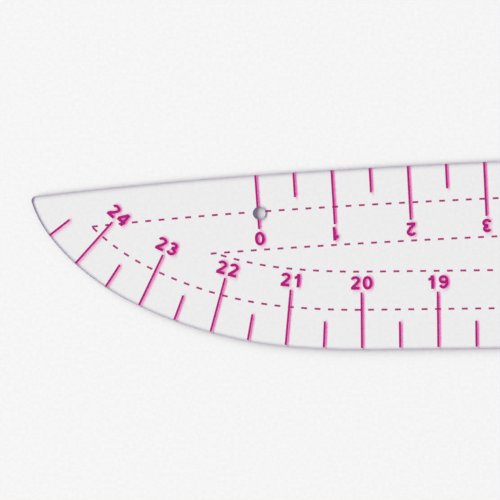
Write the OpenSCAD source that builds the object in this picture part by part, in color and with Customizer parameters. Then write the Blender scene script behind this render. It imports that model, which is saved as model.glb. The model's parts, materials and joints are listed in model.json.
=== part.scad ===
// Dressmaker's french curve: one flat sheet of clear acrylic, printed with an inch scale
// along each long edge and with dashed seam-allowance lines half an inch and one inch in.
//
// Frame, in millimetres: the origin is the axis of the hanging hole at the underside,
// +X runs along the sheet from the tip to the far end, +Y points to the upper edge, and
// +Z points to the face that carries the scales.
//
// Both edges are chains of tangent arcs. A scale mark, numeral or dash is placed by its
// distance along such a chain, square to it, as the graduations of a real curve are.

/* [Sheet] */
// Thickness of the acrylic sheet
sheet_t = 1; // [0.8:0.1:3]
// Radius of the hanging hole
hole_r = 2.1; // [1:0.1:4]
// Rounding of the sharp tip
tip_r = 1.5; // [0.5:0.1:3]
// Rounding of the two corners at the far end
end_r = 3; // [1:0.5:8]

/* [Upper edge] */
// Heading of the upper edge where it leaves the tip, in degrees
upper_heading = 6.9; // [5:0.1:9]
// First arc of the upper edge, from the tip: length and radius
upper_arc_1 = [83, 1550]; // [80:1:3000]
// Second arc of the upper edge: length and radius
upper_arc_2 = [90, 3300]; // [50:1:5000]
// Radius of the long hip arc that runs on to the far end
hip_r = 6500; // [5000:100:9000]

/* [Curved edge] */
// Heading of the curved edge where it leaves the tip, in degrees
curved_heading = -74.6; // [-80:0.1:-65]
// First arc of the curved edge, from the tip: length and radius
curved_arc_1 = [15, 38]; // [10:1:60]
// Second arc of the curved edge: length and radius
curved_arc_2 = [15, 72]; // [10:1:100]
// Third arc of the curved edge: length and radius
curved_arc_3 = [20, 86]; // [10:1:150]
// Fourth arc of the curved edge: length and radius
curved_arc_4 = [53, 142]; // [10:1:250]
// Fifth arc of the curved edge: length and radius
curved_arc_5 = [27, 260]; // [10:1:500]
// Radius of the nearly straight run to the far end
straight_r = 20000; // [9000:1000:40000]

/* [Scales] */
// One unit of both scales, an inch
unit = 25.4; // [25:0.1:26]
// Distance along the upper edge from the tip to its zero mark, which crosses the hole
upper_zero = 75.6; // [70:0.1:80]
// Distance along the curved edge from the tip to the far end, where its scale starts
curved_zero = 637.4; // [500:0.1:650]
// Length of the mark at a whole unit
whole_mark = 18.5; // [15:0.1:20]
// Length of the mark at a half unit
half_mark = 8.7; // [5:0.1:12]
// Width of the marks
mark_w = 0.7; // [0.2:0.05:1]
// Height of the numerals
numeral_h = 4.55; // [3:0.05:5]
// Width of the numerals' strokes
numeral_w = 0.95; // [0.3:0.05:1.2]
// Gap between a mark and its numeral
numeral_gap = 0.9; // [0.5:0.1:1.5]

/* [Seam lines] */
// Distance of the first seam line from its edge, half an inch
near_seam = 12.7; // [6:0.1:15]
// Distance of the second seam line from its edge, one inch
far_seam = 25.4; // [20:0.1:26]
// Length of a dash
dash_l = 1.95; // [0.8:0.05:3]
// Width of a dash
dash_w = 0.65; // [0.2:0.05:1]
// Distance from one dash to the next
dash_pitch = 4.456; // [4:0.001:6]

/* [Print] */
// Thickness of the ink
ink_t = 0.05; // [0.02:0.01:0.1]
// How far the print sits off the cut outline, along X and Y
print_shift = [-0.46, 0.49]; // [-1:0.01:1]

/* [Hidden] */

$fn = 48;
magenta = [0.74, 0.16, 0.53];
plum = [0.56, 0.22, 0.44];
seam_reach = 60;       // the two edges' seam lines meet within this far of the tip
sheet_reach = 700;     // no edge is longer than this
max_turn = 2;          // most degrees that one chord of the outline turns
max_chord = 12;        // and its greatest length
cut_over = 1;          // how far a cutter runs past the face it cuts

// ---- Tangent arcs -----------------------------------------------------------------
// A line is [arcs, start, side]: arcs is a list of [length, radius], start is [x, y,
// heading], and side is 1 where the arcs turn left and -1 where they turn right. The
// sheet lies on the side that the arcs turn to.

function left_of(heading) = [-sin(heading), cos(heading)];

// Where a single arc gets to after going s along it
function along_arc(from, s, r, side) =
    let (
        to = from.z + side * s / r * 180 / PI,
        centre = [from.x, from.y] + side * r * left_of(from.z),
        end = centre - side * r * left_of(to)
    )
    [end.x, end.y, to];

// Where a line gets to at distance s
function station(line, s, i = 0) =
    let (arcs = line[0], from = line[1], side = line[2], arc = arcs[i])
    s <= arc[0] || i == len(arcs) - 1
        ? along_arc(from, s, arc[1], side)
        : station([arcs, along_arc(from, arc[0], arc[1], side), side], s - arc[0], i + 1);

// The line that runs d inside another
function inset(line, d) =
    let (from = line[1], side = line[2], in = d * side * left_of(from.z))
    [
        [for (arc = line[0]) [arc[0] * (arc[1] - d) / arc[1], arc[1] - d]],
        [from.x + in.x, from.y + in.y, from.z],
        side
    ];

// Direction, in degrees, that points square out of the sheet at a place on a line
function outward(line, place) = place.z - line[2] * 90;

// Distance along a line at which it reaches x, by halving
function reach(line, x, low = 0, high = sheet_reach, n = 40) =
    let (mid = (low + high) / 2)
    n == 0 ? mid
    : station(line, mid).x < x ? reach(line, x, mid, high, n - 1)
    : reach(line, x, low, mid, n - 1);

// ---- The two edges ----------------------------------------------------------------

upper_arcs = [upper_arc_1, upper_arc_2, [sheet_reach, hip_r]];
curved_arcs = [
    curved_arc_1, curved_arc_2, curved_arc_3, curved_arc_4, curved_arc_5,
    [sheet_reach, straight_r]
];

// The hole lies on the near seam line at the upper scale's zero, which places the tip
zero_from_tip = station([upper_arcs, [0, 0, upper_heading], -1], upper_zero);
tip = near_seam * left_of(zero_from_tip.z) - [zero_from_tip.x, zero_from_tip.y];
upper_edge = [upper_arcs, [tip.x, tip.y, upper_heading], -1];
curved_edge = [curved_arcs, [tip.x, tip.y, curved_heading], 1];
end_x = station(curved_edge, curved_zero).x;

// Near the tip the upper edge is one arc, so a place's depth and foot there are exact
tip_arc_r = upper_arc_1[1];
tip_arc_centre = tip - tip_arc_r * left_of(upper_heading);
function depth(p) = tip_arc_r - norm([p.x, p.y] - tip_arc_centre);
function upper_foot(p, d) =
    let (heading = -asin((p.x - tip_arc_centre.x) / (tip_arc_r - d)))
    (upper_heading - heading) * PI / 180 * (tip_arc_r - d);

// Distance along the curved edge's inset line at which it is d below the upper edge
function meeting(line, d, low = 0, high = seam_reach, n = 40) =
    let (mid = (low + high) / 2)
    n == 0 ? mid
    : depth(station(line, mid)) < d ? meeting(line, d, mid, high, n - 1)
    : meeting(line, d, low, mid, n - 1);

// ---- Outline of the sheet ---------------------------------------------------------

function before(arcs, i) = i == 0 ? 0 : arcs[i - 1][0] + before(arcs, i - 1);
function chords(arc) = ceil(max(arc[0] / max_chord, arc[0] / arc[1] * 180 / PI / max_turn));
function edge_points(line, from, to) = [
    for (i = [0:len(line[0]) - 1])
        let (arc = line[0][i], n = chords(arc), start = before(line[0], i))
            for (j = [0:n - 1])
                let (s = start + arc[0] * j / n, p = station(line, s))
                    if (s > from + tip_r / 2 && s < to - tip_r / 2) [p.x, p.y]
];
function arc_points(centre, r, from, to) =
    let (n = ceil(abs(to - from) / 7.5))
    [for (i = [0:n]) centre + r * [cos(from + (to - from) * i / n), sin(from + (to - from) * i / n)]];
function backwards(list) = [for (i = [len(list) - 1:-1:0]) list[i]];

// Rounding of the tip: its centre lies tip_r inside both edges
tip_s = meeting(inset(curved_edge, tip_r), tip_r);
tip_round = station(inset(curved_edge, tip_r), tip_s);
tip_low = outward(curved_edge, tip_round) + 360;
tip_foot = upper_foot(tip_round, tip_r) * tip_arc_r / (tip_arc_r - tip_r);
tip_high = outward(upper_edge, station(upper_edge, tip_foot));

// Rounding of the far end's corners: end_r inside the end and the edge
function end_round(edge) =
    let (line = inset(edge, end_r))
    station(line, reach(line, end_x - end_r));
function end_foot(edge) =
    let (p = end_round(edge))
    reach(edge, p.x + end_r * cos(outward(edge, p)));
low_round = end_round(curved_edge);
high_round = end_round(upper_edge);

outline = concat(
    arc_points([tip_round.x, tip_round.y], tip_r, tip_high, tip_low),
    edge_points(curved_edge, tip_s, end_foot(curved_edge)),
    arc_points([low_round.x, low_round.y], end_r, outward(curved_edge, low_round), 0),
    arc_points([high_round.x, high_round.y], end_r, 0, outward(upper_edge, high_round)),
    backwards(edge_points(upper_edge, tip_foot, end_foot(upper_edge)))
);

// ---- Numerals, drawn with strokes on a cell 100 high and centred on x = 0 ----------

cell = numeral_h / 100;
pen = numeral_w / cell;
cell_w = 88;           // from one digit to the next
low = pen / 2;         // the stroke's middle along the foot and the head of a digit
high = 100 - pen / 2;

// Points along an ellipse's arc
function bend(x, y, rx, ry, from, to) =
    let (n = ceil(abs(to - from) / 18))
    [for (i = [0:n]) let (a = from + (to - from) * i / n) [x + rx * cos(a), y + ry * sin(a)]];
// Points all round a slightly squared oval
function oval(x, y, rx, ry) = [
    for (a = [0:18:342])
        [x + rx * sign(cos(a)) * pow(abs(cos(a)), 0.88), y + ry * sign(sin(a)) * pow(abs(sin(a)), 0.88)]
];
function half_turn(path) = [for (p = path) [-p.x, 100 - p.y]];

// The open strokes of each digit, from 0 to 9
six_back = bend(2.5, 48, 27.5, high - 48, 190, 35);
strokes = [
    [],
    [[[7, 0], [7, 100]], bend(-23.5, 97, 28, 28, 0, -90)],
    [
        concat(bend(-0.5, 70.5, 24.5, high - 70.5, 172, -36), [[6, 42], [-10, 28], [-21, 17], [-27, low]]),
        [[-32.5, low], [31, low]]
    ],
    [
        concat(bend(-1, 73, 21.5, high - 73, 165, -85), [[-9, 53]]),
        concat([[-9, 53]], bend(-1, 30, 24.5, 30 - low, 80, -168))
    ],
    [[[17, 0], [17, 100]], [[-37, 29.5], [34.5, 29.5]], [[-31.5, 32], [13, 96]]],
    [[[27.5, high], [-14, high]], [[-12.5, 99], [-21, 45]], bend(0, 32, 25, 32 - low, 145, -168)],
    [six_back],
    [[[-31, high], [31.5, high]], concat([[28, high]], bend(60, 0, 68, 100, 120, 180))],
    [],
    [half_turn(six_back)],
];
// The closed strokes of each digit
six_bowl = oval(1.5, 31, 24.5, 31 - low);
rings = [
    [oval(0, 50, 25.5, high - 50)], [], [], [], [], [],
    [six_bowl],
    [],
    [oval(0, 73.5, 20.5, high - 73.5), oval(0, 30, 24.5, 30 - low)],
    [half_turn(six_bowl)],
];

// The points of a path moved sideways by d, to its left
function beside(path, d, closed) = [
    for (i = [0:len(path) - 1])
        let (
            n = len(path),
            to = path[closed ? (i + 1) % n : min(i + 1, n - 1)],
            from = path[closed ? (i + n - 1) % n : max(i - 1, 0)],
            run = to - from
        )
        path[i] + d * [-run.y, run.x] / norm(run)
];

module open_stroke(path)
    polygon(cell * concat(beside(path, pen / 2, false), backwards(beside(path, -pen / 2, false))));

module closed_stroke(path) {
    n = len(path);
    polygon(
        cell * concat(beside(path, -pen / 2, true), beside(path, pen / 2, true)),
        [[for (i = [0:n - 1]) i], [for (i = [n:2 * n - 1]) i]]
    );
}

module digit(d) {
    for (path = strokes[d]) open_stroke(path);
    for (path = rings[d]) closed_stroke(path);
}

module numeral(value) {
    tens = floor(value / 10);
    step = tens > 0 ? cell_w * cell / 2 : 0;
    linear_extrude(ink_t) {
        translate([step, 0]) digit(value % 10);
        if (tens > 0) translate([-step, 0]) digit(tens);
    }
}

// ---- Placing print on the sheet ---------------------------------------------------

// Puts its children on a line at distance s, with +Y square into the sheet
module on_line(line, s) {
    p = station(line, s);
    translate([p.x, p.y, 0]) rotate(line[2] > 0 ? p.z : p.z + 180) children();
}

module printed(z) translate([print_shift.x, print_shift.y, z]) children();

module hole(z, h) translate([0, 0, z]) cylinder(r = hole_r, h = h);

// A mark from the edge inwards, less what the print's shift carries past the cut edge
module mark(edge, s, length) {
    out = outward(edge, station(edge, s));
    trim = max(0, print_shift * [cos(out), sin(out)]);
    on_line(edge, s) translate([-mark_w / 2, trim, 0]) cube([mark_w, length - trim, ink_t]);
}

module numerals(edge, s, value)
    on_line(edge, s) translate([0, whole_mark + numeral_gap, 0]) numeral(value);

// Distance from the tip to a mark of each scale
function upper_mark_s(m) = upper_zero + m * unit;
function curved_mark_s(m) = curved_zero - m * unit;
upper_units = floor((reach(upper_edge, end_x) - upper_zero) / unit);
curved_units = floor((curved_zero - tip_r) / unit - 0.5);

// A row of dashes along the line d inside an edge, from where the two edges' lines meet.
// first is the distance from there to the middle of the first dash.
module dashes(edge, d, first, z, h) {
    line = inset(edge, d);
    corner = meeting(inset(curved_edge, d), d);
    start = edge[2] > 0 ? corner : upper_foot(station(inset(curved_edge, d), corner), d);
    finish = reach(line, end_x) - dash_l;
    printed(z)
        for (s = [start + first:dash_pitch:finish])
            if (norm([station(line, s).x, station(line, s).y] + print_shift) > hole_r)
                on_line(line, s) translate([-dash_l / 2, -dash_w / 2, 0]) cube([dash_l, dash_w, h]);
}

module seam_line(i, z, h) {
    if (i == 0) difference() {
        dashes(upper_edge, near_seam, 0.95, z, h);
        hole(z - cut_over, h + 2 * cut_over);
    }
    if (i == 1) dashes(upper_edge, far_seam, -0.5, z, h);
    if (i == 2) dashes(curved_edge, near_seam, 1.4, z, h);
    if (i == 3) dashes(curved_edge, far_seam, 2.95, z, h);
}

// ---- Sub-parts --------------------------------------------------------------------

// The cut acrylic, with a film-deep pocket under each dash of the underside print
module clear_sheet()
    color("lavender", 0.4)
        difference() {
            linear_extrude(sheet_t) polygon(outline);
            hole(-cut_over, sheet_t + 2 * cut_over);
            for (i = [0:3]) seam_line(i, -cut_over, ink_t + cut_over);
        }

module upper_inch_marks()
    color(magenta)
        difference() {
            printed(sheet_t) for (m = [0:upper_units]) mark(upper_edge, upper_mark_s(m), whole_mark);
            hole(sheet_t - cut_over, ink_t + 2 * cut_over);
        }

module upper_half_inch_marks()
    color(magenta) printed(sheet_t)
        for (m = [0.5:1:upper_units]) mark(upper_edge, upper_mark_s(m), half_mark);

module upper_numerals()
    color(magenta) printed(sheet_t)
        for (m = [0:upper_units]) numerals(upper_edge, upper_mark_s(m), m);

module curved_inch_marks()
    color(magenta) printed(sheet_t)
        for (m = [1:curved_units]) mark(curved_edge, curved_mark_s(m), whole_mark);

module curved_half_inch_marks()
    color(magenta) printed(sheet_t)
        for (m = [0.5:1:curved_units + 0.5]) mark(curved_edge, curved_mark_s(m), half_mark);

module curved_numerals()
    color(magenta) printed(sheet_t)
        for (m = [1:curved_units]) numerals(curved_edge, curved_mark_s(m), m);

module upper_half_inch_seam_line() color(plum) seam_line(0, 0, ink_t);
module upper_one_inch_seam_line() color(plum) seam_line(1, 0, ink_t);
module curved_half_inch_seam_line() color(plum) seam_line(2, 0, ink_t);
module curved_one_inch_seam_line() color(plum) seam_line(3, 0, ink_t);

clear_sheet();
upper_inch_marks();
upper_half_inch_marks();
upper_numerals();
curved_inch_marks();
curved_half_inch_marks();
curved_numerals();
upper_half_inch_seam_line();
upper_one_inch_seam_line();
curved_half_inch_seam_line();
curved_one_inch_seam_line();
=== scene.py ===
# Looks of the dressmaker's french curve: a clear cast acrylic sheet with screen-printed inch
# scales on its upper face and seam lines on its underside, lying on white paper.
#
# Everything is in metres, in the CAD frame: the origin is the axis of the hanging hole at the
# underside, +X runs to the far end, +Y to the upper edge and +Z out of the printed face.

import json
import math

import bmesh
import bpy
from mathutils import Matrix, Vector
from mathutils.geometry import delaunay_2d_cdt


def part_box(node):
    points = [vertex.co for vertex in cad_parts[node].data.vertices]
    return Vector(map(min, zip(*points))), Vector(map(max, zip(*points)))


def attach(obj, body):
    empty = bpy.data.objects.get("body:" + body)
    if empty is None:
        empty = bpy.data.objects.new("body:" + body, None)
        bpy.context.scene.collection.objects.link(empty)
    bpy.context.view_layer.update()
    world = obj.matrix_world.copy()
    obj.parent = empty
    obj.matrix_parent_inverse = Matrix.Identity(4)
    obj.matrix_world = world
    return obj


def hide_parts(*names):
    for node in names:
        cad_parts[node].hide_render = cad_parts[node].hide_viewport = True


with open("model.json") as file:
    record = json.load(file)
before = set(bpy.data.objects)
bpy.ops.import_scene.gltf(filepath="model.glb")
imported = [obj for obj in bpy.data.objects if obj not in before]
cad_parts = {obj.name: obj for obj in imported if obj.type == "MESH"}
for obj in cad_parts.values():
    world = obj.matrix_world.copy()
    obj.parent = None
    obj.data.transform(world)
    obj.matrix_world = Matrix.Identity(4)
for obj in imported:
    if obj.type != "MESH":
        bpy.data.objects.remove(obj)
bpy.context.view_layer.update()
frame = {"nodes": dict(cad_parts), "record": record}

MM = 0.001

# ---- Image points ---------------------------------------------------------------------
# Where the middles of the numerals show in the photograph's frame of 500 by 500 pixels.

W = H = 500
L = max(W, H)

PRINT_POINTS = {
    "numeral_24": ("curved_numerals", (115.0, 213.5)),
    "numeral_23": ("curved_numerals", (166.0, 247.0)),
    "numeral_22": ("curved_numerals", (228.5, 270.5)),
    "numeral_21": ("curved_numerals", (292.0, 280.0)),
    "numeral_20": ("curved_numerals", (363.0, 283.3)),
    "numeral_19": ("curved_numerals", (436.0, 283.3)),
    "numeral_0": ("upper_numerals", (260.5, 240.0)),
    "numeral_1": ("upper_numerals", (336.0, 235.0)),
    "numeral_2": ("upper_numerals", (411.0, 232.0)),
    "numeral_3": ("upper_numerals", (487.0, 226.0)),
}

# ---- Camera ---------------------------------------------------------------------------

CAMERA_LENS = 200.0                    # mm, a long lens, so that the view is almost parallel
CAMERA_SENSOR = 36.0                   # mm
VIEW_WIDTH = 166.23 * MM               # what the picture's 500 pixels span on the printed face
VIEW_CENTRE = (-3.06 * MM, -12.23 * MM)
CAMERA_SHIFT = (0.0, 0.0)
CAMERA_CLIP = (0.01, 50.0)             # metres


def place_camera():
    """The camera looks straight down on the printed face."""
    data = bpy.data.cameras.new("camera")
    data.lens = CAMERA_LENS
    data.sensor_width = CAMERA_SENSOR
    data.sensor_fit = "AUTO"
    data.shift_x, data.shift_y = CAMERA_SHIFT
    data.clip_start, data.clip_end = CAMERA_CLIP
    camera = bpy.data.objects.new("camera", data)
    height = printed_face + VIEW_WIDTH * CAMERA_LENS / CAMERA_SENSOR
    camera.location = (*VIEW_CENTRE, height)
    bpy.context.scene.collection.objects.link(camera)
    bpy.context.scene.camera = camera
    bpy.context.view_layer.update()
    return camera


def shows_at(camera, place):
    """Where a place shows in the picture, in its pixels."""
    x, y, z = camera.matrix_world.inverted() @ Vector(place)
    per_metre = L * camera.data.lens / camera.data.sensor_width / -z
    return (
        W / 2 - camera.data.shift_x * L + x * per_metre,
        H / 2 + camera.data.shift_y * L - y * per_metre,
    )


# ---- Materials ------------------------------------------------------------------------


def colour(hex_value):
    """An sRGB hex colour as linear red, green, blue and alpha."""
    channels = [int(hex_value[i:i + 2], 16) / 255 for i in (1, 3, 5)]
    return (*[c / 12.92 if c <= 0.04045 else ((c + 0.055) / 1.055) ** 2.4 for c in channels], 1)


def new_material(name):
    """An empty material and its node tree."""
    material = bpy.data.materials.new(name)
    material.use_nodes = True
    material.node_tree.nodes.clear()
    return material, material.node_tree


def add(tree, kind, inputs=None, **settings):
    """Adds a node with its settings. Each input takes a value, or an output to link."""
    node = tree.nodes.new("ShaderNode" + kind)
    for name, value in settings.items():
        setattr(node, name, value)
    for name, value in (inputs or {}).items():
        if isinstance(value, bpy.types.NodeSocket):
            tree.links.new(value, node.inputs[name])
        else:
            node.inputs[name].default_value = value
    return node


def ramp(tree, factor, stops):
    """A colour ramp with (place, hex colour) stops."""
    node = add(tree, "ValToRGB", {"Fac": factor})
    elements = node.color_ramp.elements
    while len(elements) < len(stops):
        elements.new(0.5)
    for element, (place, hex_value) in zip(elements, stops):
        element.position = place
        element.color = colour(hex_value)
    return node.outputs["Color"]


def lets_light_through(tree, shader, lamp_filter, sky_filter):
    """Shows shader, and filters the light of lamps and sky that falls through it."""
    path = add(tree, "LightPath")
    shown = shader.outputs["BSDF"]
    for ray, light in (("Is Shadow Ray", lamp_filter), ("Is Diffuse Ray", sky_filter)):
        clear = add(tree, "BsdfTransparent", {"Color": light})
        mix = add(tree, "MixShader", {
            0: path.outputs[ray], 1: shown, 2: clear.outputs["BSDF"],
        })
        shown = mix.outputs["Shader"]
    add(tree, "OutputMaterial", {"Surface": shown})


ACRYLIC_IOR = 1.49
HAIRLINE_SIZE = (30, 0.4)     # mm along and across, as drawn
STRIATION = 0.25              # mm from one laser mark to the next


def polished_cast_acrylic():
    """Cast acrylic, polished by the glass it was cast between: clear, and mirror-smooth but for
    the hairlines that paper and tracing wheels leave. Real hairlines are about 0.02 mm wide,
    and are drawn wider so that they show."""
    material, tree = new_material("polished_cast_acrylic")
    place = add(tree, "TexCoord").outputs["Object"]
    along = add(tree, "Mapping", {
        "Vector": place,
        "Rotation": (0, 0, math.radians(4)),
        "Scale": (1 / HAIRLINE_SIZE[0], 1 / HAIRLINE_SIZE[1], 1),
    })
    hairlines = add(tree, "TexNoise", {
        "Vector": along.outputs["Vector"], "Scale": 1 / MM, "Detail": 2.0,
    })
    roughness = add(tree, "MapRange", {
        "Value": hairlines.outputs["Fac"],
        "From Min": 0.62, "From Max": 0.78, "To Min": 0.015, "To Max": 0.09,
    })
    sheen = add(tree, "BsdfPrincipled", {
        "Base Color": colour("#FFFFFF"),
        "Roughness": roughness.outputs["Result"],
        "IOR": ACRYLIC_IOR,
        "Transmission Weight": 1.0,
    })
    lets_light_through(tree, sheen, colour("#FAFAFA"), colour("#A8A8A8"))
    return material


def laser_cut_edge():
    """The cut wall of the sheet, with the fine upright striations that a laser leaves. It bends
    light away from the paper beside it, so it looks lilac-grey."""
    material, tree = new_material("laser_cut_acrylic_edge")
    place = add(tree, "TexCoord").outputs["Object"]
    upright = add(tree, "Mapping", {"Vector": place, "Scale": (1, 1, 0.05)})
    striations = add(tree, "TexNoise", {
        "Vector": upright.outputs["Vector"], "Scale": 1 / (STRIATION * MM), "Detail": 3.0,
    })
    bump = add(tree, "Bump", {
        "Height": striations.outputs["Fac"], "Strength": 0.35, "Distance": 0.05 * MM,
    })
    edge = add(tree, "BsdfPrincipled", {
        # painted shade: this lilac-grey tint stands in for the darker look that the light bent
        # away by the wall gives the edge
        "Base Color": colour("#DCCFE0"),
        "Roughness": 0.12,
        "IOR": ACRYLIC_IOR,
        "Transmission Weight": 1.0,
        "Normal": bump.outputs["Normal"],
    })
    from_within = add(tree, "NewGeometry").outputs["Backfacing"]
    tint = ramp(tree, from_within, [(0.0, "#522F66"), (1.0, "#785A8C")])
    lets_light_through(tree, edge, tint, tint)
    return material


def screen_ink(name, thin, full, filter_hex, mottle):
    """Solvent screen ink on acrylic: a flat, slightly glossy film, a little lighter where the
    screen left it thin. mottle is the size in millimetres of its patches."""
    material, tree = new_material(name)
    place = add(tree, "TexCoord").outputs["Object"]
    patches = add(tree, "TexNoise", {
        "Vector": place, "Scale": 1 / (mottle * MM), "Detail": 3.0,
    })
    tone = ramp(tree, patches.outputs["Fac"], [(0.35, full), (0.7, thin)])
    mesh_marks = add(tree, "TexNoise", {
        "Vector": place, "Scale": 1 / (0.12 * MM), "Detail": 1.0,
    })
    bump = add(tree, "Bump", {
        "Height": mesh_marks.outputs["Fac"], "Strength": 0.25, "Distance": 0.01 * MM,
    })
    film = add(tree, "BsdfPrincipled", {
        "Base Color": tone,
        "Roughness": 0.5,
        "Specular IOR Level": 0.1,
        "Normal": bump.outputs["Normal"],
    })
    lets_light_through(tree, film, colour(filter_hex), colour(filter_hex))
    return material


def drawing_paper():
    """Matt white drawing paper with a faint grain of fibres about 1 mm across."""
    material, tree = new_material("drawing_paper")
    place = add(tree, "TexCoord").outputs["Object"]
    grain = add(tree, "TexNoise", {"Vector": place, "Scale": 1 / (1.2 * MM), "Detail": 4.0})
    tone = ramp(tree, grain.outputs["Fac"], [(0.3, "#F3F3F3"), (0.7, "#F8F8F8")])
    sheet = add(tree, "BsdfPrincipled", {
        "Base Color": tone,
        "Roughness": 0.9,
        "Specular IOR Level": 0.0,
    })
    add(tree, "OutputMaterial", {"Surface": sheet.outputs["BSDF"]})
    return material


# ---- Acrylic sheet --------------------------------------------------------------------
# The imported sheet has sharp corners. The one that shows has the same outline and hole, with
# the corners rounded a little, as the heat of the laser leaves them.

UPPER_FILLET = 0.08 * MM
LOWER_FILLET = 0.06 * MM
HOLE_FILLET = 0.08 * MM
FILLET_STEPS = 5
RIM = 0.08 * MM           # flat strip beside a fillet, which keeps the flat face's shading flat
OUTLINE_STEP = 3.0 * MM   # longest chord of the finished outline
HOLE_SIDES = 72
FACE_GRID = 9.0 * MM      # spacing of the points inside the flat faces
GRID_CLEAR = 0.45         # least distance of those points from the rim, in spacings
LEAST_MITRE = 0.5         # keeps a corner that is moved in from running far
SAME_PLACE = 0.001 * MM   # corners this close are one
SAME_HEIGHT = 0.01 * MM
INK_BITE = 0.005 * MM     # how far the upper print's foot lies inside the sheet
PRINT_PROUD = 0.012 * MM  # how far the underside print stands proud of the sheet


def outline_of(node, z):
    """The outer loop of a CAD sheet's flat face at height z, anticlockwise."""
    mesh = bmesh.new()
    mesh.from_mesh(node.data)
    bmesh.ops.remove_doubles(mesh, verts=mesh.verts, dist=SAME_PLACE)
    onward = {}
    for edge in mesh.edges:
        level = all(abs(vert.co.z - z) <= SAME_HEIGHT for vert in edge.verts)
        if len(edge.link_faces) != 2 or not level:
            continue
        flats = [face for face in edge.link_faces if abs(face.normal.z) > 0.5]
        if len(flats) != 1:
            continue
        for loop in edge.link_loops:
            if loop.face == flats[0]:
                onward[loop.vert.index] = loop.link_loop_next.vert.index
    places = {v.index: v.co.xy.copy() for v in mesh.verts}
    mesh.free()
    loops = []
    while onward:
        start = at = next(iter(onward))
        loop = []
        while at in onward:
            loop.append(places[at])
            at = onward.pop(at)
        loops.append(loop)
    return max(loops, key=len_round)


def len_round(loop):
    """The length of a closed loop."""
    return sum((b - a).length for a, b in zip(loop, loop[1:] + loop[:1]))


def stepped(loop, step):
    """A closed loop with points added, so that no chord is longer than step."""
    out = []
    for a, b in zip(loop, loop[1:] + loop[:1]):
        n = max(1, math.ceil((b - a).length / step))
        out += [a.lerp(b, i / n) for i in range(n)]
    return out


def moved_in(loop, d):
    """A closed anticlockwise loop moved inwards by d."""
    out = []
    n = len(loop)
    for i in range(n):
        before = (loop[i] - loop[i - 1]).normalized()
        after = (loop[(i + 1) % n] - loop[i]).normalized()
        run = (before + after).normalized()
        inwards = Vector((-run.y, run.x))
        out.append(loop[i] + inwards * d / max(LEAST_MITRE, run.dot(after)))
    return out


def fillet_profile(top, foot, upper, lower):
    """(distance in, height) from the upper face round the wall to the lower face."""
    quarter = [math.radians(90 * i / FILLET_STEPS) for i in range(FILLET_STEPS + 1)]
    return (
        [(upper + RIM, top)]
        + [(upper * (1 - math.sin(a)), top - upper * (1 - math.cos(a))) for a in quarter]
        + [(lower * (1 - math.cos(a)), foot + lower * (1 - math.sin(a))) for a in quarter]
        + [(lower + RIM, foot)]
    )


def acrylic_sheet(outline, hole, faces, edges):
    """The rounded sheet, with one material on its two faces and one on its cut walls."""
    top, foot = printed_face + INK_BITE, PRINT_PROUD
    mesh = bmesh.new()
    ends = []
    for loop, upper, lower in (
        (outline, UPPER_FILLET, LOWER_FILLET),
        (hole, HOLE_FILLET, HOLE_FILLET),
    ):
        rings = [
            [mesh.verts.new((*p, z)) for p in moved_in(loop, d)]
            for d, z in fillet_profile(top, foot, upper, lower)
        ]
        n = len(loop)
        last = len(rings) - 2
        for j, (a, b) in enumerate(zip(rings, rings[1:])):
            for i in range(n):
                face = mesh.faces.new((a[i], b[i], b[(i + 1) % n], a[(i + 1) % n]))
                face.material_index = 0 if j in (0, last) else 1
        ends.append((rings[0], rings[-1]))
    for side in (0, 1):
        fill_face(mesh, [end[side] for end in ends], upwards=side == 0, grid=FACE_GRID)
    for face in mesh.faces:
        face.smooth = True
    data = bpy.data.meshes.new("acrylic_sheet")
    mesh.to_mesh(data)
    mesh.free()
    data.materials.append(faces)
    data.materials.append(edges)
    sheet = bpy.data.objects.new("acrylic_sheet", data)
    bpy.context.scene.collection.objects.link(sheet)
    return sheet


def within(ring, p):
    """Whether the place p lies inside a ring of places."""
    crossings = 0
    for a, b in zip(ring, ring[1:] + ring[:1]):
        if (a.y > p.y) != (b.y > p.y):
            crossings += p.x < a.x + (p.y - a.y) / (b.y - a.y) * (b.x - a.x)
    return crossings % 2 == 1


def staggered_grid(low, high, spacing, rim):
    """Places on a grid between two corners, with every other column half a step down, and none
    near the places in rim."""
    places = []
    for i in range(1, int((high.x - low.x) / spacing)):
        for j in range(1, int((high.y - low.y) / spacing) + 1):
            p = Vector((low.x + i * spacing, low.y + (j - 0.5 * (i % 2)) * spacing))
            if min((p - q).length for q in rim) > GRID_CLEAR * spacing:
                places.append(p)
    return places


def fill_face(mesh, rings, upwards=True, grid=None):
    """Fills the flat face between an outer ring and a hole's ring with triangles, which a grid
    of further points keeps even."""
    verts, edges = [], []
    for ring in rings:
        first, n = len(verts), len(ring)
        verts += ring
        edges += [(first + i, first + (i + 1) % n) for i in range(n)]
    rim = [vert.co.xy for vert in verts]
    places = list(rim)
    if grid:
        low = Vector((min(p.x for p in rim), min(p.y for p in rim)))
        high = Vector((max(p.x for p in rim), max(p.y for p in rim)))
        places += staggered_grid(low, high, grid, rim)
    inside_only, close = 1, 1e-9
    points, _, faces, origins, _, _ = delaunay_2d_cdt(places, edges, [], inside_only, close)
    z = verts[0].co.z
    corner_at = []
    for origin in origins:
        known = [i for i in origin if i < len(rim)]
        corner_at.append(verts[known[0]] if known else None)
    holes = [[vert.co.xy for vert in ring] for ring in rings[1:]]
    for face in faces:
        middle = sum((points[i] for i in face), Vector((0, 0))) / len(face)
        if any(within(ring, middle) for ring in holes):
            continue
        for i in face:
            if corner_at[i] is None:
                corner_at[i] = mesh.verts.new((*points[i], z))
        corners = [corner_at[i] for i in face]
        normal = (corners[1].co - corners[0].co).cross(corners[2].co - corners[0].co)
        if (normal.z > 0) != upwards:
            corners.reverse()
        mesh.faces.new(corners)


# ---- Build ----------------------------------------------------------------------------

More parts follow.
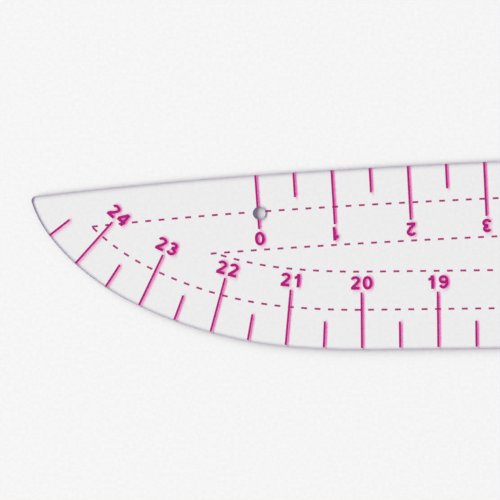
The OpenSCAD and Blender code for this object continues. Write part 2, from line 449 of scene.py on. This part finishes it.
mounts = {mount["name"]: mount for mount in frame["record"]["mounts"]}
hole_radius = mounts["hanging_hole"]["dims"]["r_mm"] * MM
printed_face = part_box("upper_inch_marks")[0].z

outline = stepped(outline_of(frame["nodes"]["clear_sheet"], printed_face), OUTLINE_STEP)
turns = [math.tau * i / HOLE_SIDES for i in range(HOLE_SIDES)]
hole = [Vector((hole_radius * math.cos(a), -hole_radius * math.sin(a))) for a in turns]

camera = place_camera()

sheet = acrylic_sheet(outline, hole, polished_cast_acrylic(), laser_cut_edge())
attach(sheet, "root")
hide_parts("clear_sheet")

upper_ink = screen_ink("magenta_screen_ink", "#BE2483", "#A21A6D", "#F851D8", 0.5)
lower_ink = screen_ink("magenta_underside_ink", "#B4127A", "#980A64", "#F851D8", 0.5)
inks = {"upper": upper_ink, "under": lower_ink}
prints = {"upper": [], "under": []}
for name, node in frame["nodes"].items():
    if name == "clear_sheet":
        continue
    side = "under" if name.endswith("seam_line") else "upper"
    node.data.materials.clear()
    node.data.materials.append(inks[side])
    prints[side].append(node)

# ---- Floor and light ------------------------------------------------------------------
# Light bends as it enters the sheet, so that all of it reaches the paper underneath within 42
# degrees of the upright. The shadows that Cycles casts stay straight, so the paper under the
# sheet is a piece of its own. A lamp at the bent angle lights it and the underside print.

UNDER_GAP = 0.02 * MM
FLOOR_GAP = 0.03 * MM
FLOOR_HALF = 4.0
LAMP_DISTANCE = 30.0
LAMP_OFFSET_Y = 10.0
LAMP_LENGTH = 65.0              # along Y, long: the long edges' shadows are broad
WINDOW = {"lean": 66, "spread": 23, "watts": 29400.0}        # degrees from the left, in air
BENT_WINDOW = {"lean": 32, "spread": 25, "watts": 17750.0}   # and inside the sheet
FILL = 0.22                     # the light that matt surfaces get from all round


def paper(name, mesh, gap, look):
    """A flat piece of drawing paper, at a distance below the sheet."""
    data = bpy.data.meshes.new(name)
    mesh.to_mesh(data)
    mesh.free()
    data.materials.append(look)
    piece = bpy.data.objects.new(name, data)
    piece.location.z = -gap
    bpy.context.scene.collection.objects.link(piece)
    return piece


def window(name, lit, lean, spread, watts):
    """A long soft lamp on the left, which lights only the things in lit. Its angles are those
    off the vertical of its middle, and between its lower and upper sides."""
    data = bpy.data.lights.new(name, "AREA")
    data.shape = "RECTANGLE"
    data.size = 2 * LAMP_DISTANCE * math.tan(math.radians(spread / 2))
    data.size_y = LAMP_LENGTH
    data.energy = watts
    lamp = bpy.data.objects.new(name, data)
    angle = math.radians(lean)
    across, up = -LAMP_DISTANCE * math.sin(angle), LAMP_DISTANCE * math.cos(angle)
    lamp.location = (across, LAMP_OFFSET_Y, up)
    lamp.rotation_euler = (0, -angle, 0)
    lamp.visible_glossy = False          # gloss and glass show the pale room alone
    lamp.visible_transmission = False
    bpy.context.scene.collection.objects.link(lamp)
    lamp.light_linking.receiver_collection = bpy.data.collections.new(name + "_lights")
    for thing in lit:
        lamp.light_linking.receiver_collection.objects.link(thing)


def pale_world():
    """White for what the camera, gloss and glass see, and a little light for matt surfaces."""
    world = bpy.data.worlds.new("pale_room")
    world.use_nodes = True
    tree = world.node_tree
    tree.nodes.clear()
    path = add(tree, "LightPath")
    seen = add(tree, "Math", {
        0: path.outputs["Is Camera Ray"], 1: path.outputs["Is Glossy Ray"],
    }, operation="MAXIMUM")
    shown = add(tree, "Math", {
        0: seen.outputs[0], 1: path.outputs["Is Transmission Ray"],
    }, operation="MAXIMUM")
    room = add(tree, "Background", {"Color": colour("#FFFFFF"), "Strength": 1.0})
    fill = add(tree, "Background", {"Color": colour("#FFFFFF"), "Strength": FILL})
    mix = add(tree, "MixShader", {
        0: shown.outputs[0], 1: fill.outputs["Background"], 2: room.outputs["Background"],
    })
    add(tree, "OutputWorld", {"Surface": mix.outputs["Shader"]})
    bpy.context.scene.world = world


paper_look = drawing_paper()
floor_mesh = bmesh.new()
bmesh.ops.create_grid(floor_mesh, x_segments=2, y_segments=2, size=FLOOR_HALF)
floor = paper("floor", floor_mesh, FLOOR_GAP, paper_look)
under_mesh = bmesh.new()
fill_face(under_mesh, [[under_mesh.verts.new((*p, 0)) for p in ring] for ring in (outline, hole)])
paper_under = paper("paper_under_the_sheet", under_mesh, UNDER_GAP, paper_look)
window("window", [floor, sheet, *prints["upper"]], **WINDOW)
window("window_through_the_sheet", [paper_under, *prints["under"]], **BENT_WINDOW)
pale_world()
bpy.context.scene.view_settings.view_transform = "Standard"

# ---- Where the image points show ------------------------------------------------------


def pieces_of(node):
    """The corners of each separate piece of a node's mesh, as lists of places."""
    mesh = bmesh.new()
    mesh.from_mesh(node.data)
    bmesh.ops.remove_doubles(mesh, verts=mesh.verts, dist=SAME_PLACE)
    left = set(mesh.verts)
    while left:
        island, edge_of = set(), [left.pop()]
        while edge_of:
            vert = edge_of.pop()
            island.add(vert)
            for edge in vert.link_edges:
                other = edge.other_vert(vert)
                if other in left:
                    left.remove(other)
                    edge_of.append(other)
        yield [v.co.copy() for v in island]
    mesh.free()


def box_middle(spots):
    """The middle of the box round some picture places."""
    xs, ys = zip(*spots)
    return (min(xs) + max(xs)) / 2, (min(ys) + max(ys)) / 2


NUMERAL_REACH = 12        # pixels from a numeral's middle to its digits' own middles


def print_middle(name, point):
    """Where the pieces of print within reach of an image point show, as their middle."""
    spots = []
    for island in pieces_of(frame["nodes"][name]):
        shown = [shows_at(camera, place) for place in island]
        if math.dist(box_middle(shown), point) < NUMERAL_REACH:
            spots += shown
    return box_middle(spots) if spots else None


def write_points():
    """Finds where the sheet's corners, the hole's middle and each numeral show in the picture;
    the places are not kept.
    """
    shown = [shows_at(camera, v.co) for v in sheet.data.vertices]
    x, y = shows_at(camera, (0, 0, printed_face))
    for name, (node, point) in PRINT_POINTS.items():
        at = print_middle(node, point)


write_points()
